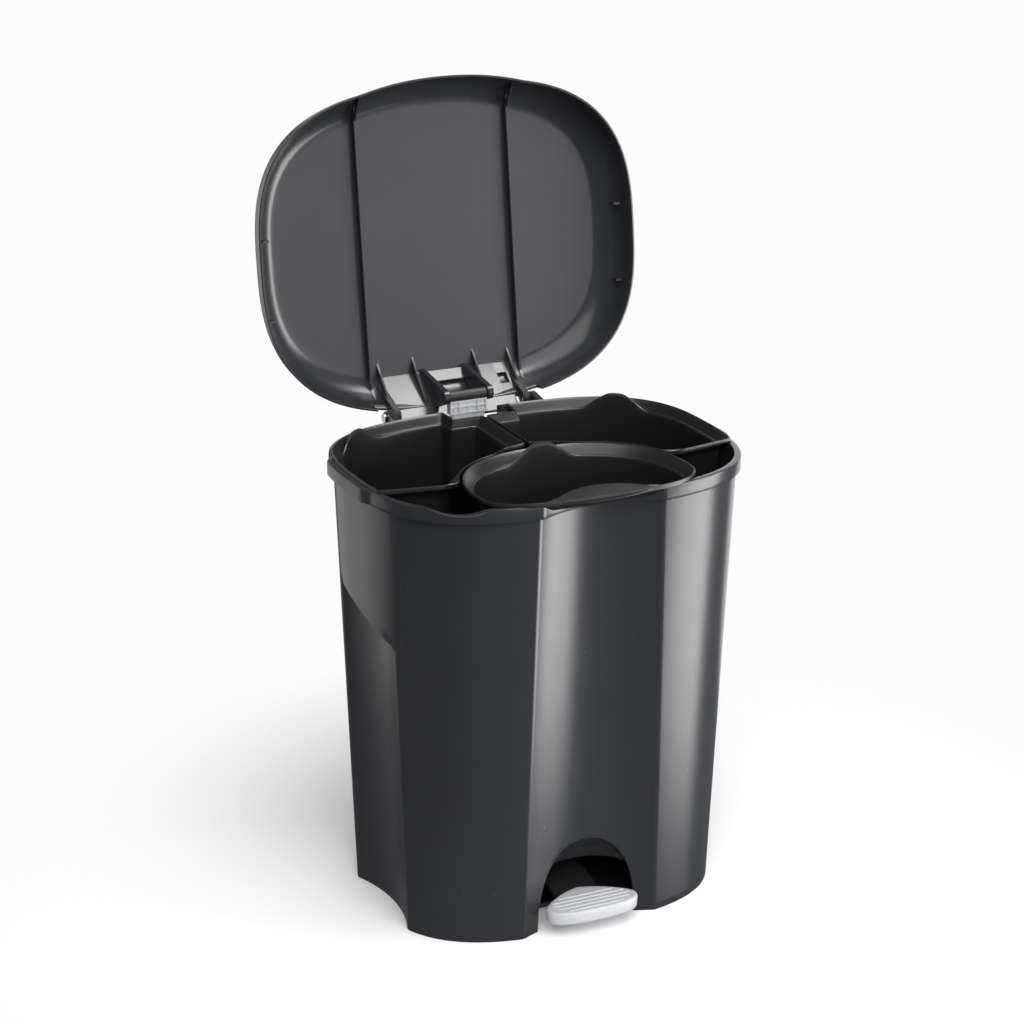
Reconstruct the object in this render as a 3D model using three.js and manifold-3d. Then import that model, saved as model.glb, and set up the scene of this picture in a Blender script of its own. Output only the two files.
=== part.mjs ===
// Three-compartment pedal bin: a moulded body with three lift-out buckets, a hinged lid, and a
// pedal that lifts the lid through a lever and a push rod. Millimetres, +Z up, front towards -Y.
// The origin is on the underside of the base plate. The bin is shown with its pedal down and
// its lid open, which is the rest position of every joint.
import * as THREE from 'three';
import { mergeVertices } from 'three/addons/utils/BufferGeometryUtils.js';
import Module from 'manifold-3d';

const wasm = await Module();
wasm.setup();

// ---- driving dimensions ----
const RIM_Z = 455;               // top of the body
const BAND_Z = 441;              // underside of the rim band
const FLOOR_Z = 64;              // underside of the raised floor, over the lever space
const HOOD_Z = 54;               // lower edge of the hood behind the pedal arch
const WALL = 2.6;                // body wall
const GAP = 0.35;                // assembly gap between touching pieces
const BASE = { a: 175, b: 135.5, yc: 4.5, n: 2.77, xv: 72, depth: 17 };
const TOP = { a: 190, b: 149, yc: 0.5, n: 3, xv: 64, depth: 17 };
const BAND_OUT = 3.5;            // how far the rim band stands proud of the wall

const HINGE = { y: 174, z: 450 };
const OPEN = 97 * Math.PI / 180; // lid opening
const CRANK = 24;                // hinge axis to push rod pin
const CRANK_OPEN = 50 * Math.PI / 180;
const LUG_X = 76.6;              // inner face of each body hinge lug
const LUG_T = 7.4;
const EAR_X = 21;                // inner face of each lid crank ear
const EAR_T = 6;

const LID = { a: 207, b: 165, yc: 7, n: 2.85, lip: 6, lipHalf: 88 };
const LID_MOUTH = -3;            // lid mouth edge, from the hinge axis
const LID_T = 2.5;

const PIVOT = { y: 0, z: 36 };   // lever axle
const AXLE_R = 3;
const TAIL_Y = 132;              // where the lever's tail meets the rod's foot
const TAIL_TOP = 54;
const FOOT_GAP = 1.5;            // open pivot between the tail and the foot

const BUCKET_TOP = 458.4;        // top face of the bucket flanges
const FLANGE_T = 2.8;
const BUCKET_WALL = 2;
const HUMP_R = 40;
const HUMP_TOP = 476;

const CHANNEL_X = 30;            // half width of the rod channel in the back wall
const CHANNEL_Y = 120;

const COVER_Z = [12, 424];       // rod cover, bottom and top
const COVER_BACK = [149.5, 166]; // its back face, at the bottom and at the top
const COVER_HALF = 40;
const COVER_FLANGE_HALF = 53;
const COVER_T = 2.4;

const SCREW_R = 1.6;
const SCREW_HOLE_R = SCREW_R + GAP;

const CHARCOAL = { color: '#303134', roughness: 0.32, metalness: 0 };
const CHARCOAL_DARK = { color: '#242526', roughness: 0.42, metalness: 0 };
const LIGHT_GREY = { color: '#cfd0d2', roughness: 0.4, metalness: 0 };
const STEEL = { color: '#b4b6b8', roughness: 0.3, metalness: 0.9 };

// ---- solids ----
function solid(geometry) {
  const bare = geometry.clone();
  bare.deleteAttribute('normal');
  bare.deleteAttribute('uv');
  const merged = mergeVertices(bare, 1e-4);
  return new wasm.Manifold(new wasm.Mesh({
    numProp: 3,
    vertProperties: Float32Array.from(merged.attributes.position.array),
    triVerts: Uint32Array.from(merged.index.array),
  }));
}

function geometryOf(body) {
  const mesh = body.getMesh();
  const geometry = new THREE.BufferGeometry();
  geometry.setAttribute('position', new THREE.BufferAttribute(mesh.vertProperties, 3));
  geometry.setIndex(new THREE.BufferAttribute(mesh.triVerts, 1));
  geometry.computeVertexNormals();
  return geometry;
}

function block(x0, x1, y0, y1, z0, z1) {
  const box = new THREE.BoxGeometry(x1 - x0, y1 - y0, z1 - z0);
  box.translate((x0 + x1) / 2, (y0 + y1) / 2, (z0 + z1) / 2);
  return solid(box);
}

// cylinder along X, Y or Z, from one end to the other
function rod(axis, r, from, to, [p, q], sides = 24) {
  const cylinder = new THREE.CylinderGeometry(r, r, to - from, sides);
  const mid = (from + to) / 2;
  if (axis === 'x') {
    cylinder.rotateZ(Math.PI / 2);
    cylinder.translate(mid, p, q);
  } else if (axis === 'y') {
    cylinder.translate(p, mid, q);
  } else {
    cylinder.rotateX(Math.PI / 2);
    cylinder.translate(p, q, mid);
  }
  return solid(cylinder);
}

// outline in the YZ plane, extruded along X
function sideProfile(points, x0, x1) {
  const shape = new THREE.Shape(points.map(([y, z]) => new THREE.Vector2(y, z)));
  const extrusion = new THREE.ExtrudeGeometry(shape, { depth: x1 - x0, bevelEnabled: false });
  extrusion.rotateY(Math.PI / 2);
  extrusion.rotateX(Math.PI / 2);
  extrusion.translate(x0, 0, 0);
  return solid(extrusion);
}

// closed solid through a stack of outlines with the same number of points
function loft(levels) {
  const count = levels[0].points.length;
  const positions = levels.flatMap(({ z, points }) => points.flatMap(([x, y]) => [x, y, z]));
  const index = [];
  for (let level = 0; level + 1 < levels.length; level += 1) {
    for (let i = 0; i < count; i += 1) {
      const a = level * count + i;
      const b = level * count + (i + 1) % count;
      index.push(a, b, b + count, a, b + count, a + count);
    }
  }
  const capAt = ({ points }) => THREE.ShapeUtils.triangulateShape(
    points.map(([x, y]) => new THREE.Vector2(x, y)), []);
  capAt(levels[0]).forEach(([a, b, c]) => index.push(c, b, a));
  const last = (levels.length - 1) * count;
  capAt(levels[levels.length - 1]).forEach(([a, b, c]) => index.push(a + last, b + last, c + last));
  const geometry = new THREE.BufferGeometry();
  geometry.setAttribute('position', new THREE.Float32BufferAttribute(positions, 3));
  geometry.setIndex(index);
  return solid(geometry);
}

const union = (...bodies) => bodies.reduce((sum, body) => sum.add(body));
const mirror = (points) => points.map(([x, y]) => [-x, y]).reverse();
const mix = (from, to, t) => from + (to - from) * t;

// point on a superellipse, at angle t from +X
function squircle(a, b, yc, n, t) {
  const c = Math.cos(t);
  const s = Math.sin(t);
  return [
    a * Math.sign(c) * Math.abs(c) ** (2 / n),
    yc + b * Math.sign(s) * Math.abs(s) ** (2 / n),
  ];
}

// ---- body ----
// squircle with a concave flute in the middle of its front, grown outwards by `grow`
function bodyOutline(level, grow) {
  const a = level.a + grow;
  const b = level.b + grow;
  const xv = level.xv - grow * 0.3;
  const start = Math.acos((xv / a) ** (level.n / 2));
  const points = [];
  const around = 60;
  for (let i = 0; i <= around; i += 1) {
    const t = mix(-start, Math.PI + start, i / around);
    points.push(squircle(a, b, level.yc, level.n, t));
  }
  const corner = points[0][1];
  const flute = 10;
  for (let i = 1; i < flute; i += 1) {
    const x = mix(-xv, xv, i / flute);
    points.push([x, corner + level.depth * (1 - (x / xv) ** 2)]);
  }
  return points;
}

function bodyLevel(z) {
  const t = z / RIM_Z;
  const level = {};
  Object.keys(BASE).forEach((key) => { level[key] = mix(BASE[key], TOP[key], t); });
  return level;
}

function bodyLoft(z0, z1, grow) {
  return loft([z0, z1].map((z) => ({ z, points: bodyOutline(bodyLevel(z), grow) })));
}

// cove sunk into the lower half of each side, cut off by a sloping shoulder
function sideCove(side, grow) {
  const radius = 171;
  const near = 154.6;
  const lean = 11;
  const rise = 320;
  const ring = (z) => {
    const centre = near + lean * z / rise + radius - grow;
    const points = [];
    for (let i = 0; i < 72; i += 1) {
      const t = 2 * Math.PI * i / 72;
      points.push([side * centre + radius * Math.cos(t), 4 + radius * Math.sin(t)]);
    }
    return points;
  };
  const cove = loft([-5, 380].map((z) => ({ z, points: ring(z) })));
  const shoulder = sideProfile(
    [[-200, -10], [200, -10], [200, 366 + grow], [60, 331 + grow], [-70, 299 + grow], [-200, 268 + grow]],
    side > 0 ? 100 : -400, side > 0 ? 400 : -100);
  return cove.intersect(shoulder);
}

// foot space behind the arch: a dome that narrows upwards
function pedalArch(grow) {
  const top = 88 + grow;
  const heights = [0, 0.25, 0.42, 0.56, 0.68, 0.78, 0.86, 0.92, 0.97, 0.995];
  const ring = (keep) => {
    const points = [];
    for (let i = 0; i < 32; i += 1) {
      const t = 2 * Math.PI * i / 32;
      points.push([(54 + grow) * keep * Math.cos(t), -118 + (40 + grow) * keep * Math.sin(t)]);
    }
    return points;
  };
  const levels = heights.map((h) => ({ z: top * h, points: ring((1 - h ** 2.3) ** (1 / 2.3)) }));
  return loft([{ z: -5, points: ring(1) }, ...levels.slice(1)]);
}

const COLUMNS = [[-112, 84], [112, 84], [-108, -78], [108, -78]];
const COVER_SCREWS = [[-46, 58], [46, 58], [-46, 396], [46, 396]];
const backOfWall = (z, x) => {
  const level = bodyLevel(z);
  return level.yc + level.b * (1 - (Math.abs(x) / level.a) ** level.n) ** (1 / level.n);
};

function bodyShell() {
  const lugs = [-1, 1].map((side) => {
    const x0 = side > 0 ? LUG_X : -LUG_X - LUG_T;
    const arm = sideProfile(
      [[135, 452], [172, 457.6], [180.5, 454], [181, 446], [172, 442.4], [150, 424], [135, 412]],
      x0, x0 + LUG_T);
    return arm.subtract(rod('x', AXLE_R + GAP, x0 - 1, x0 + LUG_T + 1, [HINGE.y, HINGE.z]));
  });
  const grips = loft([BAND_Z - 5, RIM_Z].map((z) => ({ z, points: bodyOutline(bodyLevel(z), 8) })))
    .intersect(block(-220, 220, -46, 72, BAND_Z - 6, RIM_Z + 1));
  const outer = union(
    bodyLoft(0, RIM_Z, 0),
    loft([BAND_Z, RIM_Z].map((z) => ({ z, points: bodyOutline(TOP, BAND_OUT) }))),
    grips, ...lugs);
  const channel = block(-CHANNEL_X, CHANNEL_X, CHANNEL_Y, 200, -1, RIM_Z + 1);
  const channelLining = block(-CHANNEL_X - WALL, CHANNEL_X + WALL, CHANNEL_Y - WALL, 200, -1, RIM_Z + 2);
  const coves = [-1, 1].map((side) => sideCove(side, 0));
  const coveLinings = [-1, 1].map((side) => sideCove(side, WALL));
  const bosses = COVER_SCREWS.map(([x, z]) => {
    const back = backOfWall(z, x);
    return rod('y', 4.5, back - 10, back - 1, [x, z]);
  });
  const upper = [channelLining, ...coveLinings, pedalArch(WALL), ...bosses]
    .reduce((space, lining) => space.subtract(lining), bodyLoft(FLOOR_Z + WALL, RIM_Z + 3, -WALL));
  const columns = COLUMNS.map(([x, y]) => rod('z', 7, 5 + GAP, FLOOR_Z + 1, [x, y]));
  const hoodSkirt = pedalArch(WALL).intersect(block(-80, 80, -200, 0, HOOD_Z, FLOOR_Z + 1));
  const lower = [...coveLinings, ...columns, ...bosses, hoodSkirt]
    .reduce((space, lining) => space.subtract(lining), bodyLoft(-1, FLOOR_Z, -WALL));
  const fingerNotch = rod('y', 60, -170, -90, [-138, RIM_Z + 54.5], 48)
    .intersect(block(-175, -105, -170, -90, RIM_Z - 6, RIM_Z + 1));
  const columnHoles = COLUMNS.map(([x, y]) => rod('z', SCREW_HOLE_R, 4, 30, [x, y], 16));
  const bossHoles = COVER_SCREWS.map(([x, z]) => {
    const back = backOfWall(z, x);
    return rod('y', SCREW_HOLE_R, back - 8, back + 4, [x, z], 16);
  });
  return [channel, ...coves, pedalArch(0), upper, lower, fingerNotch, ...columnHoles, ...bossHoles]
    .reduce((shell, cut) => shell.subtract(cut), outer);
}

// flat plate that closes the lever space from below and stands on the floor
function basePlate() {
  const edge = -WALL - GAP;
  const plate = loft([0, 5].map((z) => ({ z, points: bodyOutline(BASE, edge) })));
  const cuts = [
    sideCove(-1, WALL + GAP), sideCove(1, WALL + GAP),
    block(-58, 58, -200, -74, -1, 6),
    block(-24, 24, 112, 200, -1, 6),
    ...COLUMNS.map(([x, y]) => rod('z', SCREW_HOLE_R, -1, 6, [x, y], 16)),
    ...COLUMNS.map(([x, y]) => rod('z', 4.6, -1, 2.8, [x, y])),
  ];
  return cuts.reduce((sum, cut) => sum.subtract(cut), plate);
}

// pan-head screw: head at `seat`, shank of length `reach` beyond it, pointing along +axis
function screw(axis, headR, headT, reach, seat, at) {
  return union(rod(axis, headR, seat - headT, seat, at), rod(axis, SCREW_R, seat - 0.5, seat + reach, at, 16));
}

// ---- pedal lever, its axle and brackets ----
const BRACKET_X = 34;
const BRACKET_W = 14;
const BRACKET_SCREW_Y = 19;

function axleBracket(side) {
  const x0 = side > 0 ? BRACKET_X : -BRACKET_X - BRACKET_W;
  const x1 = x0 + BRACKET_W;
  const web = sideProfile([[-12, 8], [12, 8], [8, PIVOT.z], [-8, PIVOT.z]], x0, x1);
  const foot = block(x0, x1, -27, 27, 5 + GAP, 9);
  const holes = [-1, 1].map((end) => rod('z', SCREW_HOLE_R, 4, 10, [(x0 + x1) / 2, end * BRACKET_SCREW_Y], 16));
  return [rod('x', AXLE_R + GAP, x0 - 1, x1 + 1, [PIVOT.y, PIVOT.z]), ...holes].reduce(
    (sum, cut) => sum.subtract(cut),
    union(web, foot, rod('x', 8, x0, x1, [PIVOT.y, PIVOT.z], 32)));
}

function stadium(halfX, halfY, corner, steps = 8) {
  const points = [];
  for (let quarter = 0; quarter < 4; quarter += 1) {
    const sx = [1, -1, -1, 1][quarter];
    const sy = [1, 1, -1, -1][quarter];
    for (let i = 0; i <= steps; i += 1) {
      const t = Math.PI / 2 * (quarter + i / steps);
      points.push([
        sx * (halfX - corner) + corner * Math.cos(t),
        sy * (halfY - corner) + corner * Math.sin(t),
      ]);
    }
  }
  return points;
}

const PAD = { y: -135.5, halfX: 48, halfY: 14.5, corner: 13.5, z0: 15, z1: 28.5 };
const PAD_BACK = { y: -116, halfX: 37, halfY: 19, corner: 14 };
const TONGUE = { x: 24, y: -130, z0: 19, z1: 25 };
const NOSE_R = 6;

// foot plate, with a pocket that clips over the lever's tongue
function pedalPad() {
  const slab = ({ y, halfX, halfY, corner }) => {
    const level = (z, inset) => ({
      z,
      points: stadium(halfX - inset, halfY - inset, corner - inset).map(([px, py]) => [px, py + y]),
    });
    return loft([level(PAD.z0, 2), level(PAD.z0 + 3, 0), level(PAD.z1 - 2, 0), level(PAD.z1, 2)]);
  };
  const pocket = block(-TONGUE.x - GAP, TONGUE.x + GAP, TONGUE.y - GAP, 0, TONGUE.z0 - GAP, TONGUE.z1 + GAP);
  return slab(PAD).add(slab(PAD_BACK)).subtract(pocket);
}

function pedalLever() {
  const arm = sideProfile(
    [[TONGUE.y, TONGUE.z0], [-96, TONGUE.z0], [0, 30], [0, 42], [-94, TONGUE.z1], [TONGUE.y, TONGUE.z1]],
    -TONGUE.x, TONGUE.x);
  const noseZ = TAIL_TOP - NOSE_R;
  const tail = sideProfile(
    [[0, 30], [TAIL_Y, noseZ - NOSE_R], [TAIL_Y + 2, noseZ], [TAIL_Y - 6, noseZ + 2], [0, 42]], -18, 18);
  const nose = rod('x', NOSE_R, -18, 18, [TAIL_Y, noseZ], 32);
  const hub = rod('x', 8, -BRACKET_X + 0.6, BRACKET_X - 0.6, [PIVOT.y, PIVOT.z], 32);
  return union(arm, tail, nose, hub)
    .subtract(rod('x', AXLE_R + GAP, -60, 60, [PIVOT.y, PIVOT.z]));
}

// ---- push rod ----
const PIN = {
  y: HINGE.y - CRANK * Math.cos(CRANK_OPEN),
  z: HINGE.z + CRANK * Math.sin(CRANK_OPEN),
};

function pushRod() {
  const foot = TAIL_TOP + FOOT_GAP;
  const blade = (half, z0, z1) => {
    const at = (z) => mix(TAIL_Y, PIN.y, (z - foot) / (PIN.z - foot));
    return [[at(z0) - half, z0], [at(z0) + half, z0], [at(z1) + half, z1], [at(z1) - half, z1]];
  };
  const shank = sideProfile(blade(1.4, foot + 2, PIN.z - 6), -18, 18);
  const ribs = [-16.5, -1, 14.5].map((x) => sideProfile(blade(2.7, foot + 2, PIN.z - 6), x, x + 2));
  const sole = block(-19, 19, TAIL_Y - 5, TAIL_Y + 12, foot, foot + 4);
  const head = rod('x', 6, -EAR_X + 0.6, EAR_X - 0.6, [PIN.y, PIN.z], 32);
  const neck = block(-EAR_X + 0.6, EAR_X - 0.6, PIN.y - 4.5, PIN.y + 4.5, PIN.z - 14, PIN.z);
  const stubs = rod('x', 3.6, -EAR_X - EAR_T, EAR_X + EAR_T, [PIN.y, PIN.z]);
  return union(shank, ...ribs, sole, head, neck, stubs);
}

// tray-shaped cover behind the rod, with a flange that follows the back of the body
function rodCover() {
  const [bottom, top] = COVER_Z;
  const backAt = (z) => mix(COVER_BACK[0], COVER_BACK[1], (z - bottom) / (top - bottom));
  const open = 20;
  const inner = COVER_HALF - COVER_T;
  const tray = sideProfile(
    [[CHANNEL_Y, bottom], [backAt(bottom), bottom], [backAt(top), top], [CHANNEL_Y, top]],
    -COVER_HALF, COVER_HALF);
  const hollow = sideProfile(
    [[0, bottom + COVER_T], [backAt(bottom) - COVER_T, bottom + COVER_T],
      [backAt(top + open) - COVER_T, top + open], [0, top + open]],
    -inner, inner);
  const flange = bodyLoft(bottom, top, GAP + COVER_T)
    .intersect(block(-COVER_FLANGE_HALF, COVER_FLANGE_HALF, CHANNEL_Y, BASE.b * 2, bottom, top));
  const body = union(tray, flange).subtract(hollow).subtract(bodyLoft(-1, RIM_Z, GAP));
  const holes = COVER_SCREWS.map(
    ([x, z]) => rod('y', SCREW_HOLE_R, CHANNEL_Y, BASE.b * 2, [x, z], 16));
  return holes.reduce((sum, hole) => sum.subtract(hole), body);
}

// ---- lid, in its closed position with the hinge axis at the origin ----
function lidOutline(inset) {
  const points = [];
  const count = 80;
  for (let i = 0; i < count; i += 1) {
    const t = 2 * Math.PI * i / count;
    const [x, y] = squircle(LID.a - inset, LID.b - inset, LID.yc, LID.n, t);
    const across = Math.min(1, Math.abs(x) / LID.lipHalf);
    const lip = y < LID.yc ? LID.lip * Math.cos(across * Math.PI / 2) : 0;
    points.push([x, y - lip - HINGE.y]);
  }
  return points;
}

function lidShell() {
  const stack = (rows) => loft(rows.map(([z, inset]) => ({ z, points: lidOutline(inset) })));
  const outer = stack([[LID_MOUTH, 0], [20, 4], [33, 11.5], [40.5, 22], [44.5, 42]]);
  const inner = stack([[LID_MOUTH - 1, LID_T], [18.5, 4 + LID_T], [31, 14], [38, 23.5], [42, 43]]);
  const dish = outer.subtract(inner);
  const ribs = [-84, 84].map((x) => block(x - 1.2, x + 1.2, -336, -4, 31, 43).intersect(outer));
  const notch = block(-92, 92, -16, 12, LID_MOUTH - 1, 9);
  const bridge = sideProfile([[-36, 42.5], [-32.5, 42.5], [-1.5, 12], [-1.5, 9], [-4.6, 9]], -75.8, 75.8)
    .intersect(outer)
    .subtract(block(56, 66, -24, -14, 5, 38));
  const pin = { y: -CRANK * Math.cos(OPEN - CRANK_OPEN), z: -CRANK * Math.sin(OPEN - CRANK_OPEN) };
  const cheeks = [-1, 1].map((side) => {
    const x0 = side > 0 ? 69 : -75.8;
    return sideProfile([[-24, 29.5], [-1.5, 9.5], [7, 3], [7, -5], [2, -8], [-5, -8]], x0, x0 + 6.8)
      .subtract(rod('x', AXLE_R + GAP, x0 - 1, x0 + 8, [0, 0]));
  });
  const ears = [-1, 1].map((side) => {
    const x0 = side > 0 ? EAR_X : -EAR_X - EAR_T;
    const plate = union(
      sideProfile([[-38, 38], [-1.5, 9.5], [pin.y + 7.5, pin.z], [pin.y - 7.5, pin.z]], x0, x0 + EAR_T),
      rod('x', 7.5, x0, x0 + EAR_T, [pin.y, pin.z], 32));
    return plate.subtract(rod('x', 3.6 + GAP, x0 - 1, x0 + EAR_T + 1, [pin.y, pin.z]));
  });
  const gussets = [-73, 73].map((x) => sideProfile([[-50, 44], [-3, 44], [-3, 11], [-12, 11]], x - 1, x + 1)
    .intersect(outer));
  return union(dish.subtract(notch), ...ribs, bridge, ...gussets, ...cheeks, ...ears);
}

function hingePin(side) {
  const shank = rod('x', AXLE_R, side > 0 ? 70 : -86, side > 0 ? 86 : -70, [HINGE.y, HINGE.z]);
  const outside = LUG_X + LUG_T + GAP;
  const head = rod('x', 5, side > 0 ? outside : -outside - 2, side > 0 ? outside + 2 : -outside, [HINGE.y, HINGE.z]);
  return shank.add(head);
}

// ---- buckets ----
// front bucket: a round back, a square front
function frontOutline(inset) {
  const points = [];
  const count = 64;
  for (let i = 0; i < count; i += 1) {
    const t = 2 * Math.PI * i / count;
    const back = Math.sin(t) > 0;
    points.push(squircle(112 - inset, (back ? 101 : 55) - inset, -100, back ? 2.2 : 3.2, t));
  }
  return points;
}

// right rear bucket: follows the front bucket, then the body, then steps round the rod channel
function rearOutline(inset) {
  const points = [[1.5 + inset, 18 + inset], [28, 10 + inset]];
  const grow = 3 + inset;
  for (let i = 0; i <= 8; i += 1) {
    const x = mix(46, 110, i / 8);
    points.push([x, -100 + (101 + grow) * (1 - (x / (112 + grow)) ** 2.2) ** (1 / 2.2)]);
  }
  points.push([128, -67 + inset]);
  const a = 191.5 - inset;
  const b = 143 - inset;
  const from = -Math.asin(((56 - inset) / b) ** (3 / 2));
  const notchX = 36 + inset * 0.4;
  const to = Math.acos((notchX / a) ** (3 / 2));
  for (let i = 0; i <= 24; i += 1) {
    points.push(squircle(a, b, 0.5, 3, mix(from, to, i / 24)));
  }
  points.push([notchX - 1, 116.5 - inset * 0.4]);
  points.push([1.5 + inset, 116.5 - inset * 0.4]);
  return points;
}

function tapered(points, keep) {
  const cx = points.reduce((sum, [x]) => sum + x, 0) / points.length;
  const cy = points.reduce((sum, [, y]) => sum + y, 0) / points.length;
  return points.map(([x, y]) => [mix(cx, x, keep), mix(cy, y, keep)]);
}

function bucket(outline, { flange, depth, keep, hump }) {
  const bottom = BUCKET_TOP - depth;
  const wall = (inset, z0, z1) => {
    const body = loft([
      { z: z0, points: tapered(outline(inset), keep) },
      { z: BUCKET_TOP, points: outline(inset) },
      { z: z1, points: outline(inset) },
    ]);
    const clear = WALL + 2 + inset - flange;
    return body.intersect(bodyLoft(0, BUCKET_TOP + 60, -clear))
      .subtract(sideCove(-1, clear))
      .subtract(sideCove(1, clear));
  };
  const top = BUCKET_TOP + 30;
  const outer = wall(flange, bottom, top);
  const inner = wall(flange + BUCKET_WALL, bottom + BUCKET_WALL, top + 5);
  const rim = loft([BUCKET_TOP - FLANGE_T, BUCKET_TOP].map((z) => ({ z, points: outline(0) })));
  const crown = new THREE.CylinderGeometry(HUMP_R, HUMP_R, 70, 48);
  crown.rotateZ(hump.turn);
  crown.translate(hump.x, hump.y, HUMP_TOP - HUMP_R);
  const below = block(-300, 300, -300, 300, 0, BUCKET_TOP);
  const shell = union(outer.intersect(below), rim, outer.intersect(solid(crown)));
  return shell.subtract(inner);
}

// ---- the assembly ----
const bin = new THREE.Group();

function add(name, body, look, parent = bin) {
  const mesh = new THREE.Mesh(geometryOf(body), new THREE.MeshStandardMaterial(look));
  mesh.name = name;
  parent.add(mesh);
}

add('body_shell', bodyShell(), CHARCOAL);
add('base_plate', basePlate(), CHARCOAL_DARK);
COLUMNS.forEach(([x, y], i) => {
  add(`base_screw_${i + 1}`, screw('z', 4, 2.2, 20, 2.4, [x, y]), STEEL);
});

add('pedal_lever', pedalLever(), CHARCOAL_DARK);
add('pedal_pad', pedalPad(), LIGHT_GREY);
add('pedal_axle', rod('x', AXLE_R, -52, 52, [PIVOT.y, PIVOT.z]), STEEL);
[-1, 1].forEach((side) => {
  const hand = side < 0 ? 'left' : 'right';
  add(`axle_bracket_${hand}`, axleBracket(side), CHARCOAL_DARK);
  [-1, 1].forEach((end) => {
    const place = `${hand}_${end < 0 ? 'front' : 'back'}`;
    const at = [side * (BRACKET_X + BRACKET_W / 2), end * BRACKET_SCREW_Y];
    const head = rod('z', 3.8, 9 + GAP, 11.5, at);
    add(`bracket_screw_${place}`, head.add(rod('z', SCREW_R, 5.4, 10, at, 16)), STEEL);
  });
});

add('push_rod', pushRod(), LIGHT_GREY);
add('rod_cover', rodCover(), CHARCOAL);
COVER_SCREWS.forEach(([x, z], i) => {
  const seat = backOfWall(z, x) + 2.4 + 2 * GAP + 0.1;
  const head = rod('y', 4, seat, seat + 2.2, [x, z]);
  add(`cover_screw_${i + 1}`, head.add(rod('y', SCREW_R, seat - 8, seat + 0.5, [x, z], 16)), STEEL);
});

const lid = new THREE.Group();
lid.position.set(0, HINGE.y, HINGE.z);
lid.rotation.x = -OPEN;
bin.add(lid);
add('lid', lidShell(), CHARCOAL, lid);
add('hinge_pin_left', hingePin(-1), STEEL);
add('hinge_pin_right', hingePin(1), STEEL);

add('front_bucket', bucket(frontOutline, {
  flange: 9, depth: 362, keep: 0.9,
  hump: { x: 0, y: -12, turn: 0 },
}), CHARCOAL_DARK);
const rear = { flange: 8, depth: 386, keep: 0.9 };
add('right_rear_bucket', bucket(rearOutline, {
  ...rear, hump: { x: 138, y: 112, turn: -Math.PI / 4 },
}), CHARCOAL_DARK);
add('left_rear_bucket', bucket((inset) => mirror(rearOutline(inset)), {
  ...rear, hump: { x: -138, y: 112, turn: Math.PI / 4 },
}), CHARCOAL_DARK);

export default bin;
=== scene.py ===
"""Looks of the pedal bin: a moulded body with three lift-out buckets, a hinged lid, and a pedal
that opens the lid through a lever and a push rod. Sizes are in millimetres until a mesh is made.
"""
import math

import bmesh
import bpy
import numpy as np
from mathutils import Matrix, Vector


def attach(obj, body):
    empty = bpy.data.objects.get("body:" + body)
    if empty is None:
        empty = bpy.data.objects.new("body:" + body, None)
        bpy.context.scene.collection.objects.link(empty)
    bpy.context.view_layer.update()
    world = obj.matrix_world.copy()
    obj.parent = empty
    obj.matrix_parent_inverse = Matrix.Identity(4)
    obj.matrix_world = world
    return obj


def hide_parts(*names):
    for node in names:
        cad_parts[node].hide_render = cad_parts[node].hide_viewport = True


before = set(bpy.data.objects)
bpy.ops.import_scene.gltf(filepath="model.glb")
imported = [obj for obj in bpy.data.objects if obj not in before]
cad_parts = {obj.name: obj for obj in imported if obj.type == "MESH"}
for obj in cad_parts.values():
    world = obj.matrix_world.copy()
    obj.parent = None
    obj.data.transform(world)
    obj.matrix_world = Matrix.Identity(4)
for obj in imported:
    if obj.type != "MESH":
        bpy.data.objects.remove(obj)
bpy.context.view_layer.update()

# ---- Body shell ----
# The outer body is one injection moulding in polypropylene, drafted so that it leaves the mould,
# with a flute down its front, a cove sunk into each flank and a thicker rim band round its mouth.
# Two lugs at the back carry the hinge pins, and a low arch at the front lets the pedal out.
RIM_Z = 455
BAND_Z = 441
FLOOR_Z = 64
HOOD_Z = 54
WALL = 2.6
BASE = {"a": 175, "b": 135.5, "yc": 4.5, "n": 2.77, "xv": 72, "depth": 17}
TOP = {"a": 190, "b": 149, "yc": 0.5, "n": 3, "xv": 64, "depth": 17}
BAND_OUT = 3.5
GRIP = {"out": 4.5, "y0": -46, "y1": 72, "fade": 16}
COVE = {"radius": 171, "near": 154.6, "lean": 11 / 320, "y": 4, "round": 2.2}
SHOULDER = {"z": 316, "slope": 0.246, "ramp": 2.4}
ARCH = {"half_x": 54, "half_y": 40, "y": -118, "top": 88, "power": 2.3}
CHANNEL = {"x": 30, "y": 120, "bottom": 64}
NOTCH = {"x": -138, "y": -70, "z": 509.5, "r": 60, "round": 0.8, "follow": 0.4}
HINGE = {"y": 174, "z": 450}
LUG = {"x": 76.6, "thick": 7.4}
PIN_R = 3
GAP = 0.35
CORNER_ROUND = 1.7
OVERLAP = 5                        # how far the flute's and the cove's stretches run past their edges
FLUTE_RUN = BASE["xv"] + OVERLAP   # half length of the flute's stretch at the foot


def mix(start, end, t):
    return start + (end - start) * t


def smoothstep(x, low, high):
    t = np.clip((x - low) / (high - low), 0, 1)
    return t * t * (3 - 2 * t)


def smooth_max(p, q, width):
    """The larger of two heights, with the corner between them rounded over `width`."""
    near = np.maximum(width - np.abs(p - q), 0) / width
    return np.maximum(p, q) + near * near * width / 4


def body_level(z):
    t = np.minimum(z, RIM_Z) / RIM_Z
    return {key: mix(BASE[key], TOP[key], t) for key in BASE}


def side_x(level, grow, y):
    """Half width of the body's plain outline at y."""
    reach = np.clip(np.abs(y - level["yc"]) / (level["b"] + grow), 0, 1)
    return (level["a"] + grow) * (1 - reach ** level["n"]) ** (1 / level["n"])


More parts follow.
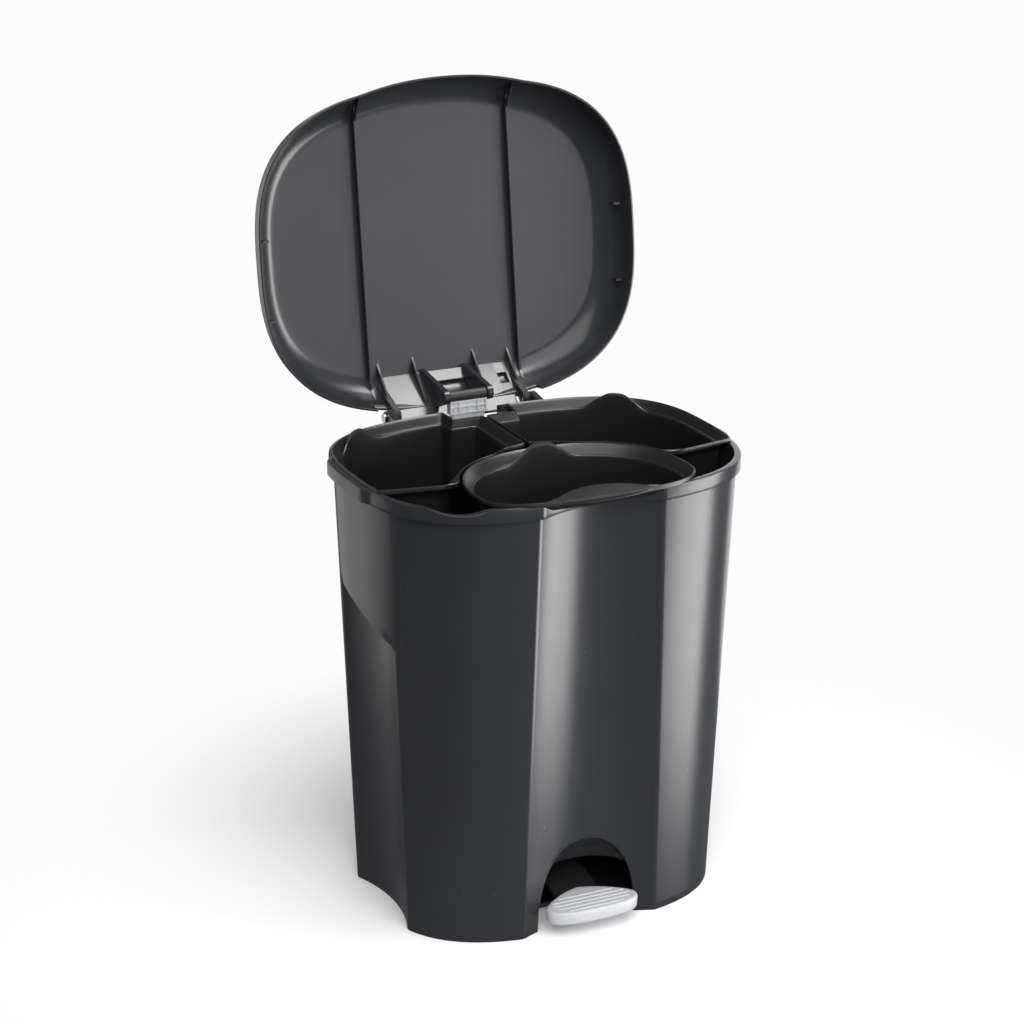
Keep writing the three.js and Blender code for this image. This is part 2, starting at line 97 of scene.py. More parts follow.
def lobe_y(level, grow, x, side=-1):
    """Front (side -1) or back (side 1) of the body's plain outline at x."""
    reach = np.clip(np.abs(x) / (level["a"] + grow), 0, 1)
    return level["yc"] + side * (level["b"] + grow) * (1 - reach ** level["n"]) ** (1 / level["n"])


def front_y(level, grow, x):
    """Front of the body at x, with the flute."""
    edge = level["xv"] - 0.3 * grow
    flute = lobe_y(level, grow, edge) + level["depth"] * (1 - (x / edge) ** 2)
    return smooth_max(lobe_y(level, grow, x), flute, CORNER_ROUND)


def cove_x(z, grow, y):
    """Half width at the surface of the cove."""
    bow = COVE["radius"] - np.sqrt(COVE["radius"] ** 2 - np.clip(y - COVE["y"], -170, 170) ** 2)
    return COVE["near"] + COVE["lean"] * z + grow + bow


def cove_edge(z, side):
    """The y at which the cove runs out into the plain flank, towards the front (-1) or back (1)."""
    level = body_level(z)
    inside = np.full_like(z, COVE["y"])
    outside = np.full_like(z, COVE["y"] + side * 125.0)
    for _ in range(24):
        middle = (inside + outside) / 2
        sunk = cove_x(z, 0, middle) < side_x(level, 0, middle)
        inside = np.where(sunk, middle, inside)
        outside = np.where(sunk, outside, middle)
    return inside


def arch_z(x):
    """Height of the pedal arch's edge where it cuts the front at x."""
    z = np.zeros_like(x)
    for _ in range(30):
        y = front_y(body_level(z), 0, x)
        reach = np.hypot(x / ARCH["half_x"], (y - ARCH["y"]) / ARCH["half_y"])
        keep = np.clip(reach, 0, 1) ** ARCH["power"]
        z = mix(z, ARCH["top"] * (1 - keep) ** (1 / ARCH["power"]), 0.5)
    return z


def column(segment, s, z, grow, sunk, band):
    """Point of the right half of the outline, in one of five stretches from front to back."""
    level = body_level(np.where(band, RIM_Z, z))
    inward = np.minimum(grow, 0)
    start, end = cove_edge(z, -1) - OVERLAP, cove_edge(z, 1) + OVERLAP
    if segment == "flute":
        x = s * (level["xv"] + OVERLAP)
        return x, front_y(level, grow, x)
    if segment == "cove":
        y = mix(start, end, s)
        plain = side_x(level, grow, y)
        cut = -smooth_max(-plain, -cove_x(z, inward, y), COVE["round"])
        grip = smoothstep(y, GRIP["y0"], GRIP["y0"] + GRIP["fade"])
        grip = grip * (1 - smoothstep(y, GRIP["y1"] - GRIP["fade"], GRIP["y1"]))
        out = GRIP["out"] * grip * np.clip(grow / BAND_OUT, 0, 1)
        return mix(plain, cut, sunk) + out, y
    a, b, n = level["a"] + grow, level["b"] + grow, level["n"]
    if segment == "lobe":
        t0 = -np.arccos(((level["xv"] + OVERLAP) / a) ** (n / 2))
        t1 = -np.arcsin(((level["yc"] - start) / b) ** (n / 2))
    else:
        t0 = np.arcsin(((end - level["yc"]) / b) ** (n / 2))
        t1 = np.arccos(((CHANNEL["x"] - inward + 2) / a) ** (n / 2))
    t = mix(t0, t1, s)
    x = a * np.cos(t) ** (2 / n)
    y = level["yc"] + b * np.sign(t) * np.abs(np.sin(t)) ** (2 / n)
    if segment != "channel":
        return x, y
    side = CHANNEL["x"] - inward
    deep = CHANNEL["y"] + inward
    rear = lobe_y(level, grow, side, 1)
    path = [(side + 2, rear), (side + 0.5, rear - 0.3), (side, rear - 2),
            (side, deep + 2.5), (side - 0.7, deep + 0.7), (side - 2.5, deep), (0, deep)]
    step = np.clip(s * (len(path) - 1), 0, len(path) - 1)
    xs, ys = (np.array([np.broadcast_to(p[k], y.shape) for p in path]) for k in (0, 1))
    low = np.minimum(step.astype(int), len(path) - 2)
    rest = step - low
    take = lambda table, index: np.take_along_axis(table, index[None], 0)[0]
    return mix(take(xs, low), take(xs, low + 1), rest), mix(take(ys, low), take(ys, low + 1), rest)


def eased(count, low=0.0, high=1.0):
    """Steps from low to high that bunch up at both ends."""
    return mix(low, high, (1 - np.cos(np.linspace(0, math.pi, count))) / 2)


foot_x = 52.95 / FLUTE_RUN         # the arch's edge meets the foot here
STRETCHES = {
    "flute": np.concatenate([foot_x * np.sin(np.linspace(0, math.pi / 2, 24)),
                             [0.692, 0.71, 0.74, 0.78, 0.82], np.linspace(0.85, 1, 16)]),
    "lobe": np.linspace(0, 1, 30)[1:-1],
    "cove": np.concatenate([np.linspace(0, 0.085, 14), eased(40, 0.1, 0.9), np.linspace(0.915, 1, 14)]),
    "back": np.linspace(0, 1, 34)[1:],
    "channel": np.arange(1, 7) / 6,
}
columns = [(name, s) for name, steps in STRETCHES.items() for s in steps]


def body_rows(profile):
    """Rings of the body: profile is a list of (zone, height, grow, sunk, band)."""
    half = []
    nominal_z = np.full(1, float(SHOULDER["z"]))
    front_edge = cove_edge(nominal_z, -1)[0] - OVERLAP
    back_edge = cove_edge(nominal_z, 1)[0] + OVERLAP
    edges = {"flute": (front_edge,) * 2, "lobe": (front_edge,) * 2, "cove": (front_edge, back_edge)}
    for name, s in columns:
        y = mix(*edges.get(name, (back_edge,) * 2), s)
        shoulder = SHOULDER["z"] + SHOULDER["slope"] * y
        bottom = 0.0
        if name == "flute" and s <= foot_x:
            bottom = float(arch_z(np.array([s * float(FLUTE_RUN)]))[0])
        if name == "channel" and s > 0.2:
            bottom = CHANNEL["bottom"]
        half.append((name, s, bottom, shoulder))
    rings = []
    for zone, height, grow, sunk, band in profile:
        points = []
        for name in STRETCHES:
            s, bottom, shoulder = np.array([entry[1:] for entry in half if entry[0] == name]).T
            if zone == "foot":
                z = bottom + height
            elif zone == "low":
                z = mix(bottom, shoulder, height)
            elif zone == "step":
                z = shoulder + height
            elif zone == "high":
                z = mix(shoulder, BAND_Z - 5, height)
            else:
                z = np.full_like(s, float(height))
            x, y = column(name, s, z, grow, sunk, band)
            points += list(zip(x, y, z))
        left = [(-x, y, z) for x, y, z in points[-2:0:-1]]
        rings.append(points + left)
    out = np.array(rings, float)
    x, y, z = out[..., 0], out[..., 1], out[..., 2]
    reach = np.clip(np.abs(x - NOTCH["x"]), 0, NOTCH["r"] - 1)
    dip = NOTCH["z"] - np.sqrt(NOTCH["r"] ** 2 - reach ** 2)
    lowered = RIM_Z - smooth_max(RIM_Z - dip, np.zeros_like(dip), NOTCH["round"])
    in_notch = (y < NOTCH["y"]) & (x < 0) & (z > BAND_Z + 1)
    out[..., 2] = np.where(in_notch, np.minimum(z, lowered + (z - RIM_Z) * NOTCH["follow"]), z)
    return out


def squircle(a, b, yc, n, t):
    """Points at the angles t of a superellipse with half axes a and b and power n."""
    c, s = np.cos(t), np.sin(t)
    return np.stack([a * np.sign(c) * np.abs(c) ** (2 / n), yc + b * np.sign(s) * np.abs(s) ** (2 / n)], -1)


def turns(count):
    return np.linspace(0, 2 * math.pi, count + 1)[:-1]


def egg(shape, inset):
    """Outline made of one superellipse in front of its middle and another behind it."""
    t = turns(96)
    front, back = (squircle(shape["a"] - inset, shape[end] - inset, shape["y"], shape["n_" + end], t)
                   for end in ("front", "back"))
    return np.where(np.sin(t)[:, None] > 0, back, front)


def box_outline(y0, y1, z0, z1):
    return [(y0, z0), (y1, z0), (y1, z1), (y0, z1)]


def skin(rings, loop=False):
    """Vertices and faces through a stack of rings. A loop joins the last ring to the first, and any
    other stack has its ends closed."""
    rings = np.asarray(rings, float)
    rows, count = rings.shape[:2]
    points = [tuple(p) for p in rings.reshape(-1, 3)]
    faces = []
    for row in range(rows if loop else rows - 1):
        for i in range(count):
            j = (i + 1) % count
            low, high = row * count, (row + 1) % rows * count
            faces.append((low + i, low + j, high + j, high + i))
    if not loop:
        for row in (0, rows - 1):
            middle = len(points)
            points.append(tuple(rings[row].mean(0)))
            faces += [(row * count + i, row * count + (i + 1) % count, middle) for i in range(count)]
    return points, faces


def prism(outline, axis, start, end, bevel=0.5, hole=None):
    """An outline in the plane across `axis`, extruded, with its edges rounded; hole is (centre, radius)."""
    outline = [Vector(p) for p in outline]
    at = "xyz".index(axis)
    across = lambda p, h: (*p[:at], h, *p[at:])
    mesh = bmesh.new()
    if hole:
        centre, radius = Vector(hole[0]), hole[1]
        dense = []
        for k, p in enumerate(outline):
            q = outline[(k + 1) % len(outline)]
            steps = max(1, int((q - p).length / 3))
            dense += [p.lerp(q, i / steps) for i in range(steps)]
        inner = [centre + (p - centre).normalized() * radius for p in dense]
        rings = [[across(p, h) for p in ring] for ring, h in
                 ((dense, start), (dense, end), (inner, end), (inner, start))]
        points, faces = skin(rings, loop=True)
        corner_rings = 2 * len(dense)
    else:
        points = [across(p, h) for h in (start, end) for p in outline]
        count = len(outline)
        faces = [tuple(range(count)), tuple(range(count, 2 * count))]
        faces += [(i, (i + 1) % count, (i + 1) % count + count, i + count) for i in range(count)]
        corner_rings = len(points)
    made = [mesh.verts.new(p) for p in points]
    for face in faces:
        mesh.faces.new([made[i] for i in face])
    bmesh.ops.recalc_face_normals(mesh, faces=mesh.faces)
    if bevel:
        outer = set(made[:corner_rings])
        edges = [e for e in mesh.edges if e.calc_face_angle(0) > 0.4 and set(e.verts) <= outer]
        bmesh.ops.bevel(mesh, geom=edges, offset=bevel, segments=2, affect="EDGES", clamp_overlap=True)
    mesh.verts.index_update()
    result = ([tuple(v.co) for v in mesh.verts], [tuple(v.index for v in f.verts) for f in mesh.faces])
    mesh.free()
    return result


def stand(name, data):
    """A new object in the scene."""
    made = bpy.data.objects.new(name, data)
    bpy.context.scene.collection.objects.link(made)
    return made


def piece(name, parts, material, turn=None, keen=35):
    """One object from closed parts in millimetres: merged, faces outwards, smooth but for keen edges."""
    mesh = bmesh.new()
    for points, faces in parts:
        verts = [mesh.verts.new(Vector(p) / 1000) for p in points]
        for face in faces:
            if len(set(face)) > 2:
                mesh.faces.new([verts[i] for i in face])
    bmesh.ops.remove_doubles(mesh, verts=mesh.verts, dist=2e-6)
    bmesh.ops.dissolve_degenerate(mesh, edges=mesh.edges, dist=1e-6)
    bmesh.ops.recalc_face_normals(mesh, faces=mesh.faces)
    if turn is not None:
        mesh.transform(turn)
    data = bpy.data.meshes.new(name)
    mesh.to_mesh(data)
    mesh.free()
    data.shade_smooth()
    data.set_sharp_from_angle(angle=math.radians(keen))
    data.materials.append(material)
    return stand(name, data)


def linear(hex_colour, alpha=1.0):
    """An sRGB hex colour as linear RGBA."""
    parts = [int(hex_colour[i:i + 2], 16) / 255 for i in (1, 3, 5)]
    return tuple(c / 12.92 if c <= 0.04045 else ((c + 0.055) / 1.055) ** 2.4 for c in parts) + (alpha,)


def add_node(tree, kind, settings=None, inputs=None):
    """Adds a node with its settings; an input is a plain value, or the output that feeds it."""
    node = tree.nodes.new(kind)
    for key, value in (settings or {}).items():
        setattr(node, key, value)
    for key, value in (inputs or {}).items():
        if isinstance(value, bpy.types.NodeSocket):
            tree.links.new(value, node.inputs[key])
        else:
            node.inputs[key].default_value = value
    return node


def blank_material(name):
    """A material with an empty tree. Gives it, its tree and the object's own coordinates."""
    material = bpy.data.materials.new(name)
    material.use_nodes = True
    tree = material.node_tree
    tree.nodes.clear()
    return material, tree, add_node(tree, "ShaderNodeTexCoord").outputs["Object"]


def noise(tree, place, size_mm, detail=2.0, roughness=0.5):
    """Noise whose features are about size_mm across."""
    return add_node(tree, "ShaderNodeTexNoise",
                    inputs={"Vector": place, "Scale": 1000 / size_mm, "Detail": detail,
                            "Roughness": roughness}).outputs["Fac"]


def tint(tree, share, dark, light):
    """A colour that drifts between two as share does."""
    return add_node(tree, "ShaderNodeMix", {"data_type": "RGBA"},
                    {"Factor": share, "A": linear(dark), "B": linear(light)}).outputs["Result"]


def surface(tree, tone, cloud, gloss, relief, extra):
    """Ends a material: its roughness runs over `gloss` with a cloud, and relief is the strength,
    depth and height of its texture."""
    rough = add_node(tree, "ShaderNodeMapRange", inputs={"Value": cloud, "From Min": 0.3, "From Max": 0.7,
                                                         "To Min": gloss[0], "To Max": gloss[1]})
    bump = add_node(tree, "ShaderNodeBump", inputs=dict(zip(("Strength", "Distance", "Height"), relief)))
    shader = add_node(tree, "ShaderNodeBsdfPrincipled",
                      inputs={"Base Color": tone, "Roughness": rough.outputs["Result"],
                              "Normal": bump.outputs["Normal"], **extra})
    add_node(tree, "ShaderNodeOutputMaterial", inputs={"Surface": shader.outputs["BSDF"]})


def moulded(name, light, dark, roughness, grain_mm=1.8, grain_depth=0.012, scuff=0.05):
    """Injection-moulded polypropylene: slow drifts of tone from the melt, and a fine tool texture
    that breaks its gloss."""
    material, tree, place = blank_material(name)
    tone = tint(tree, noise(tree, place, 90), dark, light)
    grain = noise(tree, place, grain_mm, roughness=0.6)
    surface(tree, tone, noise(tree, place, 35, 5.0, 0.65), (roughness - scuff / 2, roughness + scuff / 2),
            (0.3, grain_depth / 1000, grain), {"IOR": 1.49})
    return material


# Semi-gloss anthracite polypropylene off a polished tool: dark, with clear but soft reflections.
charcoal = moulded("Semi-gloss anthracite polypropylene", "#2b2c2e", "#26272a", 0.26, scuff=0.03)

OUTSIDE = [("foot", 0.0, -0.6, 1, False), ("foot", 0.2, -0.15, 1, False), ("foot", 0.7, 0, 1, False)]
OUTSIDE += [("low", t, 0, 1, False) for t in (0.03, 0.12, 0.25, 0.4, 0.55, 0.7, 0.82, 0.9, 0.96)]
OUTSIDE += [("step", h, 0, float(1 - smoothstep(h, -SHOULDER["ramp"], SHOULDER["ramp"])), False)
            for h in np.linspace(-SHOULDER["ramp"], SHOULDER["ramp"], 9)]
OUTSIDE += [("high", t, 0, 0, False) for t in (0.1, 0.3, 0.5, 0.7, 0.9)]
OUTSIDE += [("rim", BAND_Z + h, g, 0, g > 0) for h, g in (
    (-3, 0), (-0.6, 0), (-0.1, 0.3), (0, 0.9), (0, 2.7), (0.2, 3.25), (0.7, BAND_OUT), (5, BAND_OUT),
    (9, BAND_OUT), (12.6, BAND_OUT), (13.5, 3.2), (14, 2.4))]
INSIDE = [("rim", z, g, 0, False) for z, g in ((455, -1.7), (454.6, -2.4), (453.8, -WALL), (444, -WALL))]
INSIDE += [("high", t, -WALL, 0, False) for t in (0.8, 0.4)]
inner_ramp = WALL - SHOULDER["ramp"], WALL + SHOULDER["ramp"]
INSIDE += [("step", h, -WALL, float(1 - smoothstep(h, *inner_ramp)), False)
           for h in np.linspace(*inner_ramp[::-1], 7)]
INSIDE += [("low", t, -WALL, 1, False) for t in (0.9, 0.6, 0.3, 0.1)] + [("foot", 0.0, -WALL, 1, False)]
body_wall = skin(body_rows(OUTSIDE + INSIDE), loop=True)


def arch_ring(z, grow, count=41):
    """Half ring of the pedal arch's hood behind the front wall, kept inside the wall's thickness."""
    top = ARCH["top"] + grow
    keep = max(0.0, 1 - (min(z, top) / top) ** ARCH["power"]) ** (1 / ARCH["power"])
    t = np.linspace(0, math.pi, count)
    x = (ARCH["half_x"] + grow) * keep * np.cos(t)
    y = ARCH["y"] + (ARCH["half_y"] + grow) * keep * np.sin(t)
    front = front_y(body_level(np.full_like(x, z)), 0, x) + 0.9
    return np.stack([x, np.maximum(y, front), np.full_like(x, z)], 1)


hood_z = [HOOD_Z, FLOOR_Z] + [ARCH["top"] * f for f in (0.8, 0.86, 0.91, 0.95, 0.975, 0.99)]


def hood_part():
    """The arch's hood: an inner and an outer dome, closed along the front wall."""
    inner = [arch_ring(z, 0) for z in hood_z] + [arch_ring(ARCH["top"] - 0.15, 0)]
    outer = [arch_ring(z, WALL) for z in hood_z] + [arch_ring(ARCH["top"] + WALL - 0.3, WALL)]
    rows = np.array([*inner, *outer[::-1]])
    count = rows.shape[1]
    points = [tuple(p) for p in rows.reshape(-1, 3)]
    faces = []
    total = len(rows)
    for row in range(total):
        after = (row + 1) % total
        for i in range(count - 1):
            faces.append((row * count + i, row * count + i + 1, after * count + i + 1, after * count + i))
    for edge in (0, count - 1):
        for row in range(total // 2 - 1):
            a, b = row, total - 1 - row
            faces.append((a * count + edge, (a + 1) * count + edge, (b - 1) * count + edge, b * count + edge))
    return points, faces


def floor_part():
    """The raised floor under the buckets, cut out round the arch's hood."""
    points = []
    for name, steps in STRETCHES.items():
        at = np.full(len(steps), float(FLOOR_Z))
        x, y = column(name, np.array(steps), at, -WALL + 0.4, 1, False)
        points += list(zip(x, y))
    hood = [(x, y) for x, y, _ in arch_ring(FLOOR_Z, WALL - 0.4) if x >= 0]
    side = [p for p in points if p[0] > hood[0][0] + 0.5 or p[1] > 0]
    half = list(reversed(hood)) + side
    ring = half + [(-x, y) for x, y in half[::-1] if x > 0]
    return prism(ring, "z", FLOOR_Z, FLOOR_Z + WALL, bevel=0)


LUG_OUTLINE = [(135, 452), (172, 457.6), (178, 456.2), (181, 451.5), (181, 447), (178, 443.6), (172, 442.4),
               (150, 424), (135, 412)]
lugs = []
for side in (-1, 1):
    ends = sorted((side * LUG["x"], side * (LUG["x"] + LUG["thick"])))
    lugs.append(prism(LUG_OUTLINE, "x", *ends, bevel=0.7, hole=((HINGE["y"], HINGE["z"]), PIN_R + GAP)))

body = piece("bin_body", [body_wall, floor_part(), hood_part(), *lugs], charcoal)
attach(body, "body")
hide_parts("body_shell")

# ---- Lid ----
# The lid is a shallow dish in the same polypropylene, moulded with two stiffening ribs across its
# underside. At its back, a bridge carries two cheeks on the hinge pins and two crank ears, which
# the push rod pulls on. It is drawn shut, with the hinge axis at the origin, and then turned open.
LID = {"a": 207, "b": 165, "yc": 7, "n": 2.85, "lip": 6, "lip_half": 88}
LID_MOUTH = -3
LID_T = 2.5
LID_OPEN = math.radians(97)
CRANK = 24
CRANK_OPEN = math.radians(50)
LID_NOTCH = {"x": 92, "z": 9}
EAR = {"x": 21, "thick": 6, "pin_r": 3.6}
# Height and inset of the lid's outer and inner faces, from the skirt up to the crown.
LID_PROFILE = [(14, 2.6), (20, 4.2), (26, 6.8), (31, 10), (35, 13.8), (38.2, 18), (40.6, 22.6), (42.4, 28),
               (43.6, 34.5), (44.3, 43), (44.6, 54)]
LID_INNER = [(12.6, 5.0), (18.5, 6.6), (24, 9.2), (28.8, 12.5), (32.4, 16), (35.2, 19.6), (37.2, 23),
             (38.5, 25.6), (39.2, 28), (39.6, 32), (39.9, 40), (40.3, 54)]
CROWN_INSET = 54
# Inset and height of the inner face where the ribs end on the front and back of the skirt.
LID_FLANK = [9.2, 12.5, 16, 19.6, 23, 28], [24, 28.8, 32.4, 35.2, 37.2, 39.2]
LID_RIB = {"x": 84, "half": 1.2, "y": (-319.6, -15.5), "skirt": (-327.8, -6.5), "foot": 31.5, "root": 1}
RIB_GUSSET = [(-322, 14), (-319.5, 24), (-298, 34), (-298, 31)]
BRIDGE = [(-36, 41.2), (-32.5, 41.2), (-1.5, 12), (-1.5, 9), (-4.6, 9)]
BRIDGE_TOP = [(-36, 41.2), (-32.5, 41.2), (-23, 32.5), (-24.8, 30.6)]
BRIDGE_FOOT = [(-15.4, 20.6), (-13.5, 22.4), (-1.5, 12), (-1.5, 9), (-4.6, 9)]
BRIDGE_TAIL = [(-4.6, 9), (-1.5, 12), (10.1, 1.1), (7, -1.9)]
WINDOW = {"x0": 56, "x1": 66, "lap": 0.4}
CHEEK = {"x0": 69, "x1": 75.8}
CHEEK_OUTLINE = [(-24, 29.5), (-1.5, 9.5), (5, 5), (7, 1), (7, -4), (4, -7.4), (-2, -8), (-6, -7)]
GUSSETS = ((34, -52), (73, -50))   # x on either side, and the y where each starts on the lid
EAR_R = 7.5
NUB = {"places": ((-198, -190), (-197, -110), (198, -190), (197, -110)), "half": 1.2, "z0": 10, "z1": 19,
       "reach": 0.965}
lid_t = np.linspace(0, 2 * math.pi, 1441)
coarse = squircle(LID["a"], LID["b"], 0, LID["n"], lid_t)
run = np.concatenate([[0], np.cumsum(np.hypot(*np.diff(coarse, axis=0).T))])
lid_angles = np.interp(np.linspace(0, run[-1], 281)[:-1], run, lid_t)
notch_ends = LID_NOTCH["x"] - 0.5, LID_NOTCH["x"] + 0.5
notch_t = [math.acos((x / LID["a"]) ** (LID["n"] / 2)) for x in notch_ends]
lid_angles = np.array(sorted([*lid_angles, *notch_t, *(math.pi - t for t in notch_t)]))


def lid_ring(z, inset, centre=1.0):
    x, y = squircle(LID["a"] - inset, LID["b"] - inset, LID["yc"], LID["n"], lid_angles).T
    lip = LID["lip"] * np.cos(np.minimum(1, np.abs(x) / LID["lip_half"]) * math.pi / 2)
    y = np.where(y < LID["yc"], y - lip, y) - HINGE["y"]
    middle = LID["yc"] - HINGE["y"]
    return np.stack([x * centre, mix(middle, y, centre), np.broadcast_to(z, x.shape)], 1)


def skirt_rings(heights):
    """Rings down the lid's skirt, whose lower edge is cut back over the hinge."""
    rings = []
    for share, inset in heights:
        flat = lid_ring(0, inset)
        notch = (np.abs(flat[:, 0]) < LID_NOTCH["x"]) & (flat[:, 1] > -60)
        low = np.where(notch, LID_NOTCH["z"], LID_MOUTH)
        rings.append(lid_ring(mix(low, 13, share), inset))
    return rings


crown = ((46.2, 0.15), (46.1, 0.4), (45.6, 0.65), (45.1, 0.85))
ceiling = ((40.7, 0.85), (41.2, 0.65), (41.5, 0.4), (41.6, 0.15))
lid_rings = [lid_ring(z, CROWN_INSET, k) for z, k in crown]
lid_rings += [lid_ring(z, inset) for z, inset in LID_PROFILE[::-1]]
lid_rings += skirt_rings([(0.8, 2.1), (0.5, 1.3), (0.2, 0.5), (0.06, 0.15), (0.02, 0.2), (0.0, 0.7)])
lid_rings += skirt_rings([(0.0, LID_T - 0.6), (0.05, LID_T), (0.3, LID_T + 0.8), (0.6, LID_T + 1.6),
                          (0.9, LID_T + 2.3)])
lid_rings += [lid_ring(z, inset) for z, inset in LID_INNER]
lid_rings += [lid_ring(z, CROWN_INSET, k) for z, k in ceiling]
lid_parts = [skin(lid_rings)]
pin_y = -CRANK * math.cos(LID_OPEN - CRANK_OPEN)
pin_z = -CRANK * math.sin(LID_OPEN - CRANK_OPEN)
for x in (-LID_RIB["x"], LID_RIB["x"]):
    rib_y = np.linspace(*LID_RIB["y"], 70)
    under = np.interp(np.minimum(rib_y - LID_RIB["skirt"][0], LID_RIB["skirt"][1] - rib_y), *LID_FLANK)
    lower = np.minimum(LID_RIB["foot"], under - 2)
    outline = [*zip(rib_y, under + LID_RIB["root"]), *zip(rib_y[::-1], lower[::-1])]
    lid_parts.append(prism(outline, "x", x - LID_RIB["half"], x + LID_RIB["half"], bevel=0.35))
    lid_parts.append(prism(RIB_GUSSET, "x", x - 1, x + 1, bevel=0.3))
ear_in = EAR["x"] - 0.2
window = WINDOW["x0"] - WINDOW["lap"], WINDOW["x1"] + WINDOW["lap"]
for outline, x0, x1, bevel in ((BRIDGE, -CHEEK["x1"], -ear_in, 0.4), (BRIDGE, ear_in, WINDOW["x0"], 0.4),
                               (BRIDGE, WINDOW["x1"], CHEEK["x1"], 0.4),
                               (BRIDGE_TOP, -EAR["x"], EAR["x"], 0.4), (BRIDGE_TOP, *window, 0.2),
                               (BRIDGE_FOOT, *window, 0.2), (BRIDGE_TAIL, -66, 66, 0.3)):
    lid_parts.append(prism(outline, "x", x0, x1, bevel=bevel))
for offset, start in GUSSETS:
    for x in (-offset, offset):
        outline = [(start, 40.5), (-36, 41), (-4.6, 9.4), (-12, 11)]
        lid_parts.append(prism(outline, "x", x - 1, x + 1, bevel=0.3))
for side in (-1, 1):
    cheek = sorted((side * CHEEK["x0"], side * CHEEK["x1"]))
    lid_parts.append(prism(CHEEK_OUTLINE, "x", *cheek, bevel=0.6, hole=((0, 0), PIN_R + GAP)))
    ear = sorted((side * EAR["x"], side * (EAR["x"] + EAR["thick"])))
    around = [(pin_y + EAR_R * math.cos(t), pin_z + EAR_R * math.sin(t))
              for t in np.linspace(math.pi, 2 * math.pi, 13)]
    lid_parts.append(prism([(-38, 39), *around, (-1.5, 9.5)], "x", *ear, bevel=0.5,
                           hole=((pin_y, pin_z), EAR["pin_r"] + GAP)))
for x, y in NUB["places"]:
    outline = box_outline(y - NUB["half"], y + NUB["half"], NUB["z0"], NUB["z1"])
    lid_parts.append(prism(outline, "x", *sorted((x, x * NUB["reach"])), bevel=0.3))

hinge_at = Matrix.Translation((0, HINGE["y"] / 1000, HINGE["z"] / 1000))
open_turn = hinge_at @ Matrix.Rotation(-LID_OPEN, 4, "X")
lid = piece("bin_lid", lid_parts, charcoal, turn=open_turn)
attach(lid, "lid")
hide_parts("lid")

# ---- Buckets ----
# Three thin-walled lift-out buckets stand in the body: a round-backed one in front, and a
# mirrored pair behind it. Each is moulded in a duller grade, stands on the body's floor, and has a
# collar that slopes into its mouth, with a raised grip to lift it by.
BUCKET_TOP = 458.4
BUCKET_WALL = 2
RING_SPACING = 46
FRONT = {"a": 112, "back": 101, "front": 55, "y": -100, "n_back": 2.2, "n_front": 3.2,
         "collar": 9, "depth": 362}
REAR = {"a": 191.5, "b": 143, "y": 0.5, "n": 3, "gap": 3, "middle": 1.5, "channel": 36, "back": 116.5,
        "collar": 8, "depth": 386}
FRONT_HUMP = {"x": 2, "y": -12, "turn": 0, "half": 38, "rise": 17, "reach": 60}
REAR_HUMP = {"x": 142, "y": 106, "turn": -math.pi / 4, "half": 37, "rise": 16, "reach": 60}
APRON = {"half": 51, "tip": -152.6, "mouth": -124, "front": -157.2, "z_in": 457.6, "z_out": 454.2,
         "thick": 1.5, "steps": 9}


def rear_outline(inset):
    """Outline of the right rear bucket, which keeps a gap to the front bucket's round back."""
    points = [(REAR["middle"] + inset, 18 + inset), (28, 10 + inset)]
    grow = REAR["gap"] + inset
    for x in np.linspace(46, 110, 9):
        keep = 1 - (x / (FRONT["a"] + grow)) ** FRONT["n_back"]
        points.append((x, FRONT["y"] + (FRONT["back"] + grow) * keep ** (1 / FRONT["n_back"])))
    points.append((128, -67 + inset))
    a, b = REAR["a"] - inset, REAR["b"] - inset
    notch_x = REAR["channel"] + inset * 0.4
    power = REAR["n"] / 2
    ends = -math.asin(((56 - inset) / b) ** power), math.acos((notch_x / a) ** power)
    points += [tuple(squircle(a, b, REAR["y"], REAR["n"], np.array(t))) for t in np.linspace(*ends, 25)]
    back = REAR["back"] - inset * 0.4
    return np.array([*points, (notch_x - 1, back), (REAR["middle"] + inset, back)])


def rounded(outline, radius, count):
    """A closed outline resampled evenly, with its corners eased over about `radius`."""
    closed = np.vstack([outline, outline[:1]])
    length = np.concatenate([[0], np.cumsum(np.hypot(*np.diff(closed, axis=0).T))])
    fine = np.linspace(0, length[-1], 4 * count + 1)[:-1]
    points = np.stack([np.interp(fine, length, closed[:, k]) for k in (0, 1)], 1)
    reach = max(1, int(radius / (fine[1] - fine[0])))
    kernel = np.hanning(2 * reach + 1)
    kernel /= kernel.sum()
    padded = np.vstack([points[-reach:], points, points[:reach]])
    smooth = np.stack([np.convolve(padded[:, k], kernel, mode="valid") for k in (0, 1)], 1)
    return smooth[::4]


def clear_of_body(points, z, clear):
    """Pulls an outline inwards where it would come nearer than `clear` to the body wall. It keeps
    to the cove's width for a ring's spacing past the shoulder, so that no wall cuts the ledge."""
    x, y = points[:, 0], points[:, 1]
    level = body_level(np.full_like(x, z))
    limit = side_x(level, -clear, np.clip(y, -120, 120))
    cove = cove_x(np.full_like(x, min(z, 330)), -clear, y)
    shoulder = SHOULDER["z"] + SHOULDER["slope"] * y
    limit = np.where(z < shoulder + clear + RING_SPACING, np.minimum(limit, cove), limit)
    x = np.sign(x) * np.minimum(np.abs(x), limit)
    back = lobe_y(level, -clear, x, 1)
    front = front_y(level, -clear, np.abs(x))
    return np.stack([x, np.clip(y, front, back)], 1)


